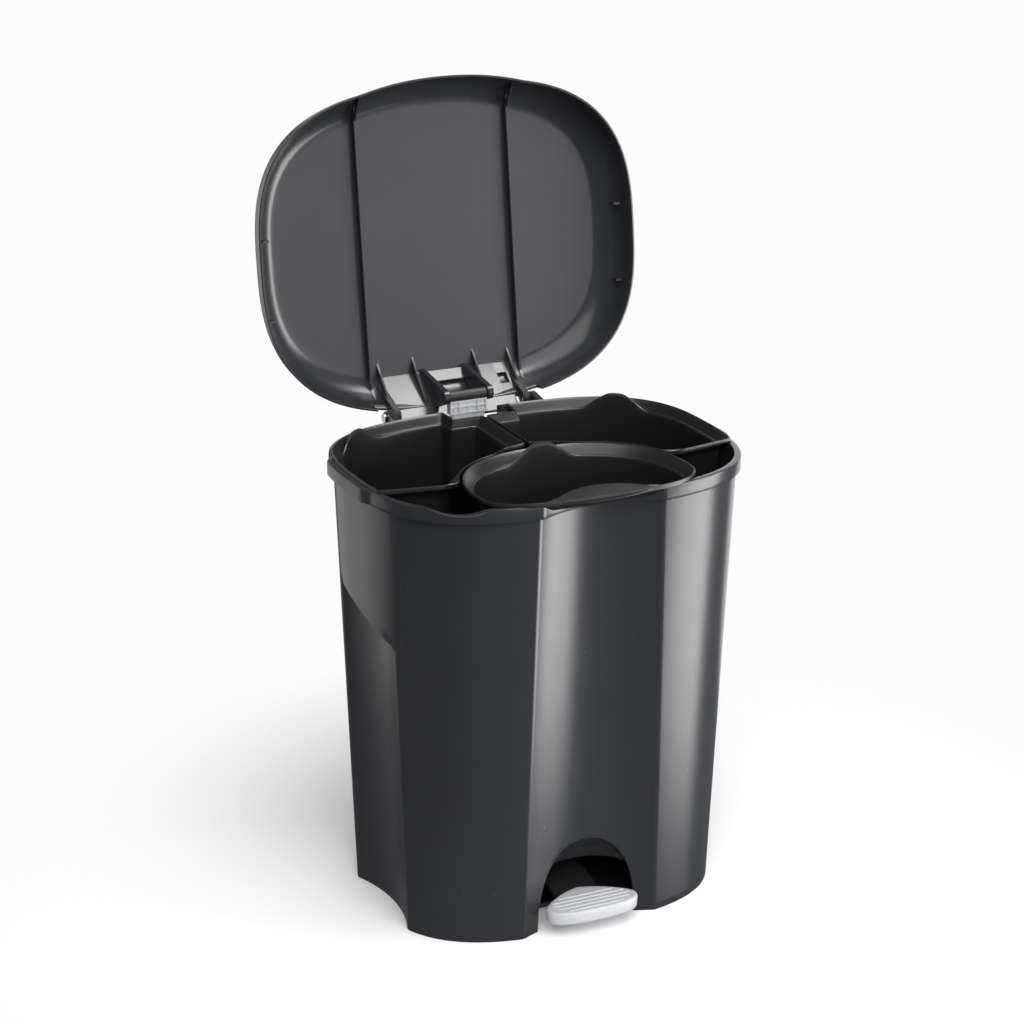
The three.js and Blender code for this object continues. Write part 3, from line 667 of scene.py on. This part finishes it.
def bucket_part(outline, flange, depth, hump, keep=0.9, count=180, flip=1):
    """Closed shell of a bucket: outside wall, collar, raised grip, inside wall and floor."""
    bottom = BUCKET_TOP - depth
    centre = outline(0).mean(0)
    mouth = flange + BUCKET_WALL

    def wall_ring(z, inset, shrink=1.0):
        points = rounded(outline(inset), 9, count)
        scale = mix(keep, 1, min(1, (z - bottom) / depth)) * shrink
        points = centre + (points - centre) * scale
        points = clear_of_body(points, z, WALL + 2 + inset - flange)
        return np.column_stack([points * [flip, 1], np.full(len(points), z)])

    def flange_ring(z, inset, lift=0.0):
        points = rounded(outline(inset), 5, count)
        c, s = math.cos(hump["turn"]), math.sin(hump["turn"])
        dx, dy = points[:, 0] - hump["x"], points[:, 1] - hump["y"]
        along, off = dx * c + dy * s, dy * c - dx * s
        rise = hump["rise"] * smoothstep(1 - np.abs(along) / hump["half"], 0, 0.9)
        return np.column_stack([points * [flip, 1], z + lift * rise * (np.abs(off) < hump["reach"])])

    levels = (0.1, 0.3, 0.5, 0.62, 0.7, 0.8, 0.9, 0.95)
    rings = [wall_ring(bottom + 0.8, flange, k) for k in (0.3, 0.7, 0.93)]
    rings += [wall_ring(bottom + h, flange + inset) for h, inset in ((0, 8), (0.6, 4), (2.4, 1.4), (6, 0.2))]
    rings += [wall_ring(mix(bottom, BUCKET_TOP, t), flange) for t in levels]
    rings += [wall_ring(BUCKET_TOP - 13, flange)]
    # Under the collar and round its outer edge, down its slope, then up and over the raised grip.
    rings += [flange_ring(BUCKET_TOP - drop, inset, lift) for drop, inset, lift in (
        (11.4, flange - 0.6, 0), (5.2, 1.8, 0), (4.8, 0.9, 0), (4.4, 0.1, 0), (0.8, 0, 0), (0.2, 0.3, 0),
        (0, 0.9, 0), (0.5, 1.7, 0), (2.4, 3.4, 0), (5.4, flange - 3, 0), (7.6, flange - 1.4, 0),
        (8.4, flange - 0.9, 0.06), (8.8, flange - 0.6, 0.3), (9, flange - 0.4, 0.8), (9.1, flange, 0.96),
        (9.4, flange + 0.7, 1), (9.9, flange + 1.4, 0.96), (10.6, flange + 1.8, 0.8), (12.4, mouth, 0.2))]
    rings += [wall_ring(mix(bottom, BUCKET_TOP, t), mouth) for t in levels[::-1]]
    rings += [wall_ring(bottom + h, mouth + inset) for h, inset in ((8, 0.2), (4.4, 1.4), (2.6, 4))]
    rings += [wall_ring(bottom + 2.6, mouth, k) for k in (0.93, 0.7, 0.3)]
    return skin(rings)


def apron_part():
    """A lens-shaped lip across the front of the front bucket's mouth, drooping towards the rim."""
    across = np.linspace(-1, 1, 41)
    bow = np.sqrt(1 - across ** 2) ** 1.6
    inner = mix(APRON["tip"] + 0.4, APRON["mouth"], bow)
    outer = mix(APRON["tip"] - 0.4, APRON["front"], bow)
    out = np.linspace(0, 1, APRON["steps"])
    rows = []
    for drop, shares in ((0, out), (APRON["thick"], out[::-1])):
        for v in shares:
            z = mix(APRON["z_in"], APRON["z_out"], v * bow) - drop
            rows.append(np.column_stack([APRON["half"] * across, mix(inner, outer, v), z]))
    return skin(np.array(rows).transpose(1, 0, 2))


# Satin polypropylene off an unpolished tool: near black, with a broad dull sheen on every edge.
satin = moulded("Satin black polypropylene", "#1d1d1e", "#181819", 0.34, grain_mm=1.5, grain_depth=0.02)
rear = rear_outline, REAR["collar"], REAR["depth"], REAR_HUMP
buckets = {
    "front_bucket": [bucket_part(lambda inset: egg(FRONT, inset), FRONT["collar"], FRONT["depth"], FRONT_HUMP),
                     apron_part()],
    "right_rear_bucket": [bucket_part(*rear)],
    "left_rear_bucket": [bucket_part(*rear, flip=-1)],
}
for name, parts in buckets.items():
    bucket = piece(name + "_shell", parts, satin)
    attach(bucket, name)
    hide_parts(name)

# ---- Pedal ----
# A light grey polypropylene foot plate clips over the tongue of a rocker. The rocker is drawn black
# as painted shade: the black stands in for the shade that falls on it under the arch's hood. The rocker turns
# on a steel axle, and the rounded nose of its tail lifts the push rod.
PAD = {"a": 49, "front": 20.4, "back": 32, "y": -129, "n_front": 2.7, "n_back": 1.35,
       "z0": 15, "z1": 28.5}
TONGUE = {"x": 24, "y": -130, "z0": 19, "z1": 25}
PIVOT_Z = 36
TAIL = {"y": 132, "top": 54, "r": 6}
HUB = {"low": 30, "high": 42, "r": 8, "x": 33.4}
# Light grey polypropylene: a pale, faintly cool grey with a soft sheen.
light_grey = moulded("Light grey polypropylene", "#b6b7ba", "#adaeb1", 0.36, grain_mm=1.6, grain_depth=0.02)


def level_ring(outline, z):
    return np.column_stack([outline, np.full(len(outline), z)])


def tube(radius, x0, x1, y, z, bevel=0.6, count=40):
    """A round bar along X with eased ends."""
    return skin([[(x, y + r * math.cos(t), z + r * math.sin(t)) for t in turns(count)] for x, r in (
        (x0, radius - bevel), (x0 + bevel, radius), (x1 - bevel, radius), (x1, radius - bevel))])


pad_foot = ((0, 6), (0, 2.4), (0.7, 1.2), (2.2, 0.4))
pad_top = ((-2.6, 0), (-1.2, 0.5), (-0.3, 1.4), (0, 2.8), (0, 8), (0, 16))
pad_parts = [skin([level_ring(egg(PAD, inset), PAD[end] + h)
                   for end, rows in (("z0", pad_foot), ("z1", pad_top)) for h, inset in rows])]
nose_z = TAIL["top"] - TAIL["r"]
lever_parts = [
    prism([(TONGUE["y"], TONGUE["z0"]), (-96, TONGUE["z0"]), (0, HUB["low"]), (0, HUB["high"]),
           (-94, TONGUE["z1"]), (TONGUE["y"], TONGUE["z1"])], "x", -TONGUE["x"], TONGUE["x"], bevel=0.6),
    prism([(0, HUB["low"]), (TAIL["y"], nose_z - TAIL["r"]), (TAIL["y"] + 2, nose_z),
           (TAIL["y"] - 6, nose_z + 2), (0, HUB["high"])], "x", -18, 18, bevel=0.6),
    tube(TAIL["r"], -18, 18, TAIL["y"], nose_z),
    tube(HUB["r"], -HUB["x"], HUB["x"], 0, PIVOT_Z),
]
# Black polypropylene off a spark-eroded tool: grainy, and with almost no reflection. On the pedal
# lever this black is painted shade, standing in for the shade under the arch's hood.
black_and_painted_shade = moulded("Spark-eroded black polypropylene", "#242526", "#1d1e1f", 0.5, grain_mm=1.4, grain_depth=0.03)
# The pedal lever gets the black moulding as painted shade for the shade under the arch's hood.
pedal = {"pedal_pad": (pad_parts, light_grey, "light_grey_polypropylene"),
         "pedal_lever": (lever_parts, black_and_painted_shade, "dark_polypropylene")}
for node, (parts, finish, slot) in pedal.items():
    made = piece(node + "_moulding", parts, finish)
    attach(made, "pedal")
    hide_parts(node)


def node_group(name, inputs):
    """A Geometry Nodes tree with a geometry input and named values. Gives the tree, the sockets of
    its inputs and the values' identifiers."""
    tree = bpy.data.node_groups.new(name, "GeometryNodeTree")
    tree.interface.new_socket("Geometry", in_out="INPUT", socket_type="NodeSocketGeometry")
    names = {}
    for label, kind in inputs.items():
        names[label] = tree.interface.new_socket(label, in_out="INPUT",
                                                 socket_type="NodeSocket" + kind).identifier
    tree.interface.new_socket("Geometry", in_out="OUTPUT", socket_type="NodeSocketGeometry")
    return tree, add_node(tree, "NodeGroupInput").outputs, names


def figure(tree, operation, *values):
    """One sum of a tree."""
    return add_node(tree, "ShaderNodeMath", {"operation": operation}, dict(enumerate(values))).outputs[0]


def stamp(tree, points, shape, finish, extra):
    """Ends a tree: the shape is copied onto each point, made real and given its material."""
    copies = add_node(tree, "GeometryNodeInstanceOnPoints",
                      inputs={"Points": points, "Instance": shape, **extra})
    whole = add_node(tree, "GeometryNodeRealizeInstances", inputs={"Geometry": copies.outputs["Instances"]})
    painted = add_node(tree, "GeometryNodeSetMaterial",
                       inputs={"Geometry": whole.outputs[0], "Material": finish})
    add_node(tree, "NodeGroupOutput", inputs={"Geometry": painted.outputs[0]})


def bake(made, tree, names, values, keen=35):
    """Runs a tree on an object with its values set by identifier, and leaves a plain mesh."""
    modifier = made.modifiers.new(tree.name, "NODES")
    modifier.node_group = tree
    for label, value in values.items():
        modifier[names[label]] = value
    made.update_tag()
    bpy.context.view_layer.update()
    data = bpy.data.meshes.new_from_object(made.evaluated_get(bpy.context.evaluated_depsgraph_get()))
    made.modifiers.clear()
    made.data = data
    data.shade_smooth()
    data.set_sharp_from_angle(angle=math.radians(keen))


# Five low ribs run along the foot plate for grip, the outer ones shorter to follow its outline.
PAD_RIB = {"half": 42, "half_width": 1.25, "height": 0.9, "count": 5, "pitch": 6.6, "reach": 19}
rib_tree, rib_in, rib_names = node_group("pad ribs", {
    "Count": "Int", "Start": "Vector", "Pitch": "Vector", "Reach": "Float", "Finish": "Material"})
line = add_node(rib_tree, "GeometryNodeMeshLine", {"mode": "OFFSET"},
                {"Count": rib_in["Count"], "Start Location": rib_in["Start"], "Offset": rib_in["Pitch"]})
spot = add_node(rib_tree, "ShaderNodeSeparateXYZ",
                inputs={0: add_node(rib_tree, "GeometryNodeInputPosition").outputs[0]})
aside = figure(rib_tree, "SUBTRACT", spot.outputs["Y"], PAD["y"] / 1000)
share = figure(rib_tree, "DIVIDE", aside, rib_in["Reach"])
rest = figure(rib_tree, "SUBTRACT", 1.0, figure(rib_tree, "MULTIPLY", share, share))
stretch = add_node(rib_tree, "ShaderNodeCombineXYZ",
                   inputs={"X": figure(rib_tree, "SQRT", rest), "Y": 1.0, "Z": 1.0})
stamp(rib_tree, line.outputs["Mesh"], rib_in["Geometry"], rib_in["Finish"],
      {"Scale": stretch.outputs[0]})
top = PAD_RIB["height"]
rib_rings = [level_ring(squircle(PAD_RIB["half"] - i, PAD_RIB["half_width"] - i, 0, 2.2, turns(48)), z)
             for z, i in ((-0.6, 0), (top - 0.6, 0.1), (top - 0.2, 0.4), (top, 0.9))]
pad_ribs = piece("pedal_pad_ribs", [skin(rib_rings)], light_grey)
first = PAD["y"] - PAD_RIB["pitch"] * (PAD_RIB["count"] - 1) / 2
bake(pad_ribs, rib_tree, rib_names,
     {"Count": PAD_RIB["count"], "Start": (0, first / 1000, PAD["z1"] / 1000),
      "Pitch": (0, PAD_RIB["pitch"] / 1000, 0), "Reach": PAD_RIB["reach"] / 1000, "Finish": light_grey})
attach(pad_ribs, "pedal")

# ---- Push rod ----
# A flat polypropylene strip stiffened by three ribs, with a sole that rests on the lever's nose
# and a cross pin at its head that turns in the lid's two ears.
ROD_PIN = {"y": HINGE["y"] - CRANK * math.cos(CRANK_OPEN), "z": HINGE["z"] + CRANK * math.sin(CRANK_OPEN)}
ROD_FOOT = TAIL["top"] + 1.5


def blade(half, x0, x1, bevel):
    at = lambda z: mix(TAIL["y"], ROD_PIN["y"], (z - ROD_FOOT) / (ROD_PIN["z"] - ROD_FOOT))
    low, high = ROD_FOOT + 2, ROD_PIN["z"] - 6
    return prism([(at(low) - half, low), (at(low) + half, low), (at(high) + half, high),
                  (at(high) - half, high)], "x", x0, x1, bevel)


rod_parts = [blade(1.4, -18, 18, 0.3), *[blade(2.7, x, x + 2, 0.3) for x in (-16.5, -1, 14.5)]]
rod_parts.append(prism(box_outline(127, 144, ROD_FOOT, ROD_FOOT + 4), "x", -19, 19, 0.6))
HEAD = {"x": 20.4, "panel": 2.6, "frame": 4.5, "low": -19, "high": -4.5, "bar": 1.6,
        "windows": (-20.4, -11, 9.4, 18.8)}


def head_block(half, x0, x1, low, high):
    y, z = ROD_PIN["y"], ROD_PIN["z"]
    return prism(box_outline(y - half, y + half, z + low, z + high), "x", x0, x1, 0.3)


low, high, wide, bar = HEAD["low"], HEAD["high"], HEAD["x"], HEAD["bar"]
rod_parts.append(head_block(HEAD["panel"], -wide + 0.3, wide - 0.3, low + 0.2, high - 0.2))
rod_parts += [head_block(HEAD["frame"], x, x + bar, low, high) for x in HEAD["windows"]]
rod_parts += [head_block(HEAD["frame"] - 0.2, -wide + 0.2, wide - 0.2, z, z + bar)
              for z in (low + 0.3, -12, high - bar - 0.3)]
cross_pin = piece("push_rod_cross_pin", [tube(5.6, -wide, wide, ROD_PIN["y"], ROD_PIN["z"]),
                                         tube(EAR["pin_r"], -27, 27, ROD_PIN["y"], ROD_PIN["z"], 0.4)], black_and_painted_shade)
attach(cross_pin, "push_rod")
push_rod = piece("push_rod_strip", rod_parts, light_grey)
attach(push_rod, "push_rod")
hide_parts("push_rod")

# ---- Finishes on the plain parts ----
# The base plate and the axle brackets are plain mouldings with a spark-eroded face, and the axle,
# the hinge pins and the screws are bright zinc-plated steel.
def plated_steel(name):
    """Zinc-plated steel: a bright metal with fine drawing lines along it and slight clouding from
    the plating bath."""
    material, tree, place = blank_material(name)
    cloud = noise(tree, place, 4, 3.0)
    lines = add_node(tree, "ShaderNodeMapping", inputs={"Vector": place, "Scale": (0.05, 1.0, 1.0)})
    draw = noise(tree, lines.outputs["Vector"], 0.8)
    surface(tree, tint(tree, cloud, "#a9acb0", "#cfd2d4"), cloud, (0.22, 0.36), (0.4, 0.00002, draw),
            {"Metallic": 1.0})
    return material


steel = plated_steel("Zinc-plated steel")
replaced = {"body_shell", "lid", "push_rod", *pedal, *buckets}

# Self-tapping screws with a domed head and a cross recess hold the base, the brackets and the cover.
SCREW = {"shank": 1.6, "dome": 2.2, "slot": 0.9, "reach": 2.4, "deep": 1.2}
HALF_SPACE = 0.02   # metres, the cube that cuts the lower half off a ball
screw_tree, screw_in, screw_names = node_group("screws", {
    "Head": "Float", "Dome": "Float", "Shank": "Float", "Turn": "Vector", "Finish": "Material"})
ball = add_node(screw_tree, "GeometryNodeMeshUVSphere", inputs={"Segments": 32, "Rings": 16, "Radius": 1.0})
size = add_node(screw_tree, "ShaderNodeCombineXYZ",
                inputs={"X": screw_in["Head"], "Y": screw_in["Head"], "Z": screw_in["Dome"]})
domed = add_node(screw_tree, "GeometryNodeTransform",
                 inputs={"Geometry": ball.outputs["Mesh"], "Scale": size.outputs[0]})
below = add_node(screw_tree, "GeometryNodeMeshCube", inputs={"Size": (HALF_SPACE,) * 3})
sunk = add_node(screw_tree, "GeometryNodeTransform",
                inputs={"Geometry": below.outputs["Mesh"], "Translation": (0, 0, -HALF_SPACE / 2)})
cutters = [sunk]
for arms in ((SCREW["reach"] * 2, SCREW["slot"]), (SCREW["slot"], SCREW["reach"] * 2)):
    cube = add_node(screw_tree, "GeometryNodeMeshCube",
                    inputs={"Size": [v / 1000 for v in (*arms, SCREW["deep"] * 2)]})
    cutters.append(add_node(screw_tree, "GeometryNodeTransform",
                            inputs={"Geometry": cube.outputs["Mesh"],
                                    "Translation": (0, 0, SCREW["dome"] / 1000)}))
head = add_node(screw_tree, "GeometryNodeMeshBoolean", {"operation": "DIFFERENCE", "solver": "EXACT"},
                {"Mesh 1": domed.outputs[0]})
for cutter in cutters:
    screw_tree.links.new(cutter.outputs[0], head.inputs["Mesh 2"])
shank = add_node(screw_tree, "GeometryNodeMeshCylinder",
                 inputs={"Vertices": 24, "Radius": SCREW["shank"] / 1000, "Depth": screw_in["Shank"]})
down = add_node(screw_tree, "ShaderNodeCombineXYZ",
                inputs={"Z": figure(screw_tree, "MULTIPLY", screw_in["Shank"], -0.5)})
lowered = add_node(screw_tree, "GeometryNodeTransform",
                   inputs={"Geometry": shank.outputs["Mesh"], "Translation": down.outputs[0]})
both = add_node(screw_tree, "GeometryNodeJoinGeometry")
screw_tree.links.new(head.outputs["Mesh"], both.inputs[0])
screw_tree.links.new(lowered.outputs[0], both.inputs[0])
turned = add_node(screw_tree, "FunctionNodeEulerToRotation", inputs={0: screw_in["Turn"]})
stamp(screw_tree, screw_in["Geometry"], both.outputs[0], screw_in["Finish"],
      {"Rotation": turned.outputs[0]})
sets = {"base_screw": (2, -1, (math.pi, 0, 0.4)), "bracket_screw": (2, 1, (0, 0, 0.7)),
        "cover_screw": (1, 1, (-math.pi / 2, 0.3, 0))}
for kind, (axis, way, turn) in sets.items():
    nodes = [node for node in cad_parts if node.startswith(kind)]
    seats, lengths = [], []
    for node in nodes:
        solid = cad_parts[node]
        corners = np.array([solid.matrix_world @ v.co for v in solid.data.vertices])
        low, high = corners.min(0), corners.max(0)
        seat = (low + high) / 2
        seat[axis] = high[axis] - SCREW["dome"] / 1000 if way > 0 else low[axis] + SCREW["dome"] / 1000
        seats.append(seat)
        lengths.append((high - low)[axis] - SCREW["dome"] / 1000)
    width = (high - low)[0]
    data = bpy.data.meshes.new(kind + "s")
    data.from_pydata([tuple(p) for p in seats], [], [])
    screws = stand(kind + "s", data)
    bake(screws, screw_tree, screw_names,
         {"Head": float(width / 2), "Dome": SCREW["dome"] / 1000, "Shank": float(min(lengths)),
          "Turn": turn, "Finish": steel})
    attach(screws, "body")
    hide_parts(*nodes)
    replaced.update(nodes)

for node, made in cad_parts.items():
    if node in replaced:
        continue
    finish = steel
    if node == "rod_cover":
        finish = charcoal
    elif node == "base_plate" or node.startswith("axle_bracket"):
        finish = black_and_painted_shade
    made.data.materials.clear()
    made.data.materials.append(finish)

# ---- Studio ----
# A pale sweep, a broad soft light from above, a tall soft panel on the right that draws the
# bright bands down the body, a small one that glints on the hinge bridge, and a pale backdrop.
CAMERA_DISTANCE = 2.9043
CAMERA_AZIMUTH = math.radians(-25.43)
CAMERA_ELEVATION = math.radians(19.34)
right = Vector((math.cos(CAMERA_AZIMUTH), math.sin(CAMERA_AZIMUTH), 0))
back = Vector((math.sin(CAMERA_AZIMUTH) * math.cos(CAMERA_ELEVATION),
               -math.cos(CAMERA_AZIMUTH) * math.cos(CAMERA_ELEVATION), math.sin(CAMERA_ELEVATION)))
up = back.cross(right)
aim = right * -0.0223 + up * 0.3696
camera_data = bpy.data.cameras.new("camera")
camera_data.lens = 99.54
camera_data.sensor_width = 36
camera = stand("camera", camera_data)
camera_turn = Matrix((right, up, back)).transposed().to_4x4()
camera.matrix_world = Matrix.Translation(aim + back * CAMERA_DISTANCE) @ camera_turn
bpy.context.scene.camera = camera

floor_mesh = bpy.data.meshes.new("floor")
floor_mesh.from_pydata([(-2, -2, 0), (2, -2, 0), (2, 2, 0), (-2, 2, 0)], [], [(0, 1, 2, 3)])
floor = stand("floor", floor_mesh)
paper, tree, place = blank_material("White paper sweep")
radius = add_node(tree, "ShaderNodeVectorMath", {"operation": "LENGTH"}, {0: place})
fade = add_node(tree, "ShaderNodeMapRange", {"interpolation_type": "SMOOTHSTEP"},
                {"Value": radius.outputs["Value"], "From Min": 0.25, "From Max": 0.65})
shade = tint(tree, noise(tree, place, 2), "#f6f6f6", "#fafafa")
sheet = add_node(tree, "ShaderNodeBsdfDiffuse", inputs={"Color": shade})
clear = add_node(tree, "ShaderNodeBsdfTransparent")
blend = add_node(tree, "ShaderNodeMixShader",
                 inputs={0: fade.outputs["Result"], 1: sheet.outputs[0], 2: clear.outputs[0]})
add_node(tree, "ShaderNodeOutputMaterial", inputs={"Surface": blend.outputs[0]})
floor_mesh.materials.append(paper)
floor.visible_glossy = False


def soft_panel(name, azimuth, elevation, distance, width, height, power, glossy=True, diffuse=True):
    """A rectangular soft light that faces the bin from a bearing, with 0 in front and 90 on the right."""
    light = bpy.data.lights.new(name, "AREA")
    light.shape = "RECTANGLE"
    light.size, light.size_y = width, height
    light.energy = power
    a, e = math.radians(azimuth), math.radians(elevation)
    out = Vector((math.sin(a) * math.cos(e), -math.cos(a) * math.cos(e), math.sin(e)))
    lamp = stand(name, light)
    lamp.location = Vector((0, 0, 0.3)) + out * distance
    lamp.rotation_euler = out.to_track_quat("Z", "Y").to_euler()
    lamp.visible_camera = False
    lamp.visible_glossy = glossy
    lamp.visible_diffuse = diffuse


soft_panel("right_panel", 59, -4, 3.0, 1.6, 2.8, 125)
soft_panel("hinge_panel", 82, 66, 3.0, 1.1, 1.1, 60, diffuse=False)
soft_panel("top_panel", -10, 66, 3.0, 3.0, 3.0, 75)
soft_panel("front_fill", -15, 30, 3.4, 3.0, 2.4, 84, glossy=False)
soft_panel("lid_panel", 22, 8, 3.0, 2.0, 1.3, 13)
soft_panel("back_left", -150, 5, 3.0, 3.2, 3.4, 22)
soft_panel("back_right", 140, 5, 3.0, 3.2, 3.4, 45)

world = bpy.data.worlds.new("studio")
world.use_nodes = True
bpy.context.scene.world = world
tree = world.node_tree
tree.nodes.clear()
path = add_node(tree, "ShaderNodeLightPath")
seen = add_node(tree, "ShaderNodeBackground", inputs={"Color": linear("#fcfcfc"), "Strength": 1.0})
unseen = add_node(tree, "ShaderNodeBackground", inputs={"Color": linear("#f4f6fa"), "Strength": 0.16})
choice = add_node(tree, "ShaderNodeMixShader",
                  inputs={0: path.outputs["Is Camera Ray"], 1: unseen.outputs[0], 2: seen.outputs[0]})
add_node(tree, "ShaderNodeOutputWorld", inputs={"Surface": choice.outputs[0]})
bpy.context.scene.view_settings.view_transform = "Standard"
